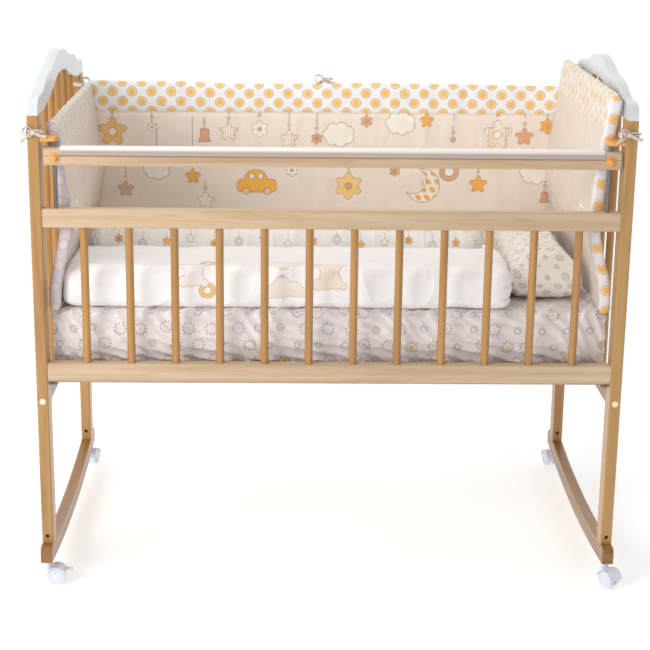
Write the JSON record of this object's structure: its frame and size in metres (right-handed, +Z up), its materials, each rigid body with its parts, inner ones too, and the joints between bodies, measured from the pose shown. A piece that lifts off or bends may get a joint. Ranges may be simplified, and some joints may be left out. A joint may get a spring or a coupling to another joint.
{
  "type": "baby cradle",
  "caption": "Wooden baby cot on rockers and casters, with white scalloped ends, a drop bar with push buttons, a padded bumper, mattress, quilt and pillow.",
  "frame": {"origin": "on the floor under the middle of the cot", "axes": "+X along the cot to the right seen from the front, -Y is the front with the drop bar, +Z up"},
  "size_m": [1.2907, 0.7613, 1.131],
  "materials": {
    "frame_wood": "clear lacquered beech",
    "plain_wood": "sanded",
    "painted_board": "white lacquer",
    "amber_plastic": "moulded",
    "clear_plastic": "clear, milky",
    "white_plastic": "moulded",
    "steel": "zinc plated",
    "mattress_cotton": "printed cotton",
    "quilt_cotton": "printed cotton",
    "pillow_cotton": "printed cotton",
    "bumper_cotton": "printed cotton, padded"
  },
  "bodies": {
    "cradle": {"back_lower_rail": "frame_wood", "back_spindles": "frame_wood", "back_top_rail": "frame_wood", "barrel_nuts": "steel", "base_support_bolts": "steel", "blanket_roll": "quilt_cotton", "bumper_back": "bumper_cotton", "bumper_left": "bumper_cotton", "bumper_right": "bumper_cotton", "bumper_ties": "bumper_cotton", "caster_sockets": "steel", "crosspiece_screws": "steel", "end_cap_left": "painted_board", "end_cap_right": "painted_board", "end_crosspiece_left": "frame_wood", "end_crosspiece_right": "frame_wood", "end_spindles_left": "frame_wood", "end_spindles_right": "frame_wood", "front_lower_rail": "frame_wood", "front_middle_rail": "frame_wood", "front_spindles": "frame_wood", "guide_rods": "steel", "mattress": "mattress_cotton", "mattress_base_bars": "plain_wood", "mattress_base_slats": "plain_wood", "pillow": "pillow_cotton", "post_back_left": "frame_wood", "post_back_right": "frame_wood", "post_front_left": "frame_wood", "post_front_right": "frame_wood", "quilt": "quilt_cotton", "rail_bolts": "steel", "rocker_bolts": "steel", "rocker_left": "frame_wood", "rocker_right": "frame_wood", "rod_brackets": "amber_plastic", "screw_plugs": "white_plastic", "wood_dowels": "plain_wood"},
    "drop_bar_body": {"drop_bar": "frame_wood", "chew_guard": "clear_plastic", "button_collars": "amber_plastic", "button_springs": "steel"},
    "push_button_left": {"button_left": "amber_plastic"},
    "push_button_right": {"button_right": "amber_plastic"},
    "caster_front_left": {"caster_housing_front_left": "white_plastic", "caster_stem_front_left": "steel"},
    "wheels_front_left": {"caster_wheels_front_left": "white_plastic"},
    "caster_front_right": {"caster_housing_front_right": "white_plastic", "caster_stem_front_right": "steel"},
    "wheels_front_right": {"caster_wheels_front_right": "white_plastic"},
    "caster_back_left": {"caster_housing_back_left": "white_plastic", "caster_stem_back_left": "steel"},
    "wheels_back_left": {"caster_wheels_back_left": "white_plastic"},
    "caster_back_right": {"caster_housing_back_right": "white_plastic", "caster_stem_back_right": "steel"},
    "wheels_back_right": {"caster_wheels_back_right": "white_plastic"},
    "brake_lever_body": {"brake_lever": "white_plastic"}
  },
  "joints": [
    {"name": "drop_bar_slide", "type": "slide", "parent": "cradle", "child": "drop_bar_body", "axis": [0, 0, 1], "range_m": [-0.0905, 0]},
    {"name": "push_button_left_slide", "type": "slide", "parent": "drop_bar_body", "child": "push_button_left", "axis": [0, 1, 0], "range_m": [0, 0.004], "stiffness_N_per_m": 600, "springref_m": -0.003, "deforming": ["button_springs"]},
    {"name": "push_button_right_slide", "type": "slide", "parent": "drop_bar_body", "child": "push_button_right", "axis": [0, 1, 0], "range_m": [0, 0.004], "stiffness_N_per_m": 600, "springref_m": -0.003},
    {"name": "caster_front_left_swivel", "type": "hinge", "parent": "cradle", "child": "caster_front_left", "pos_m": [-0.6125, -0.338, 0.0524], "axis": [0, 0, 1], "continuous": true},
    {"name": "wheels_front_left_roll", "type": "hinge", "parent": "caster_front_left", "child": "wheels_front_left", "pos_m": [-0.5955, -0.338, 0.019], "axis": [0, 1, 0], "continuous": true},
    {"name": "caster_front_right_swivel", "type": "hinge", "parent": "cradle", "child": "caster_front_right", "pos_m": [0.6125, -0.338, 0.0524], "axis": [0, 0, 1], "continuous": true},
    {"name": "wheels_front_right_roll", "type": "hinge", "parent": "caster_front_right", "child": "wheels_front_right", "pos_m": [0.62151, -0.35242, 0.019], "axis": [0.848, 0.5299, 0], "continuous": true},
    {"name": "caster_back_left_swivel", "type": "hinge", "parent": "cradle", "child": "caster_back_left", "pos_m": [-0.6125, 0.338, 0.0524], "axis": [0, 0, 1], "continuous": true},
    {"name": "wheels_back_left_roll", "type": "hinge", "parent": "caster_back_left", "child": "wheels_back_left", "pos_m": [-0.6081, 0.35442, 0.019], "axis": [-0.9659, 0.2588, 0], "continuous": true},
    {"name": "caster_back_right_swivel", "type": "hinge", "parent": "cradle", "child": "caster_back_right", "pos_m": [0.6125, 0.338, 0.0524], "axis": [0, 0, 1], "continuous": true},
    {"name": "wheels_back_right_roll", "type": "hinge", "parent": "caster_back_right", "child": "wheels_back_right", "pos_m": [0.6081, 0.35442, 0.019], "axis": [-0.9659, -0.2588, 0], "continuous": true},
    {"name": "brake_lever_hinge", "type": "hinge", "parent": "caster_front_left", "child": "brake_lever_body", "pos_m": [-0.5718, -0.338, 0.03108], "axis": [0, 1, 0], "range_deg": [0, 18]}
  ]
}
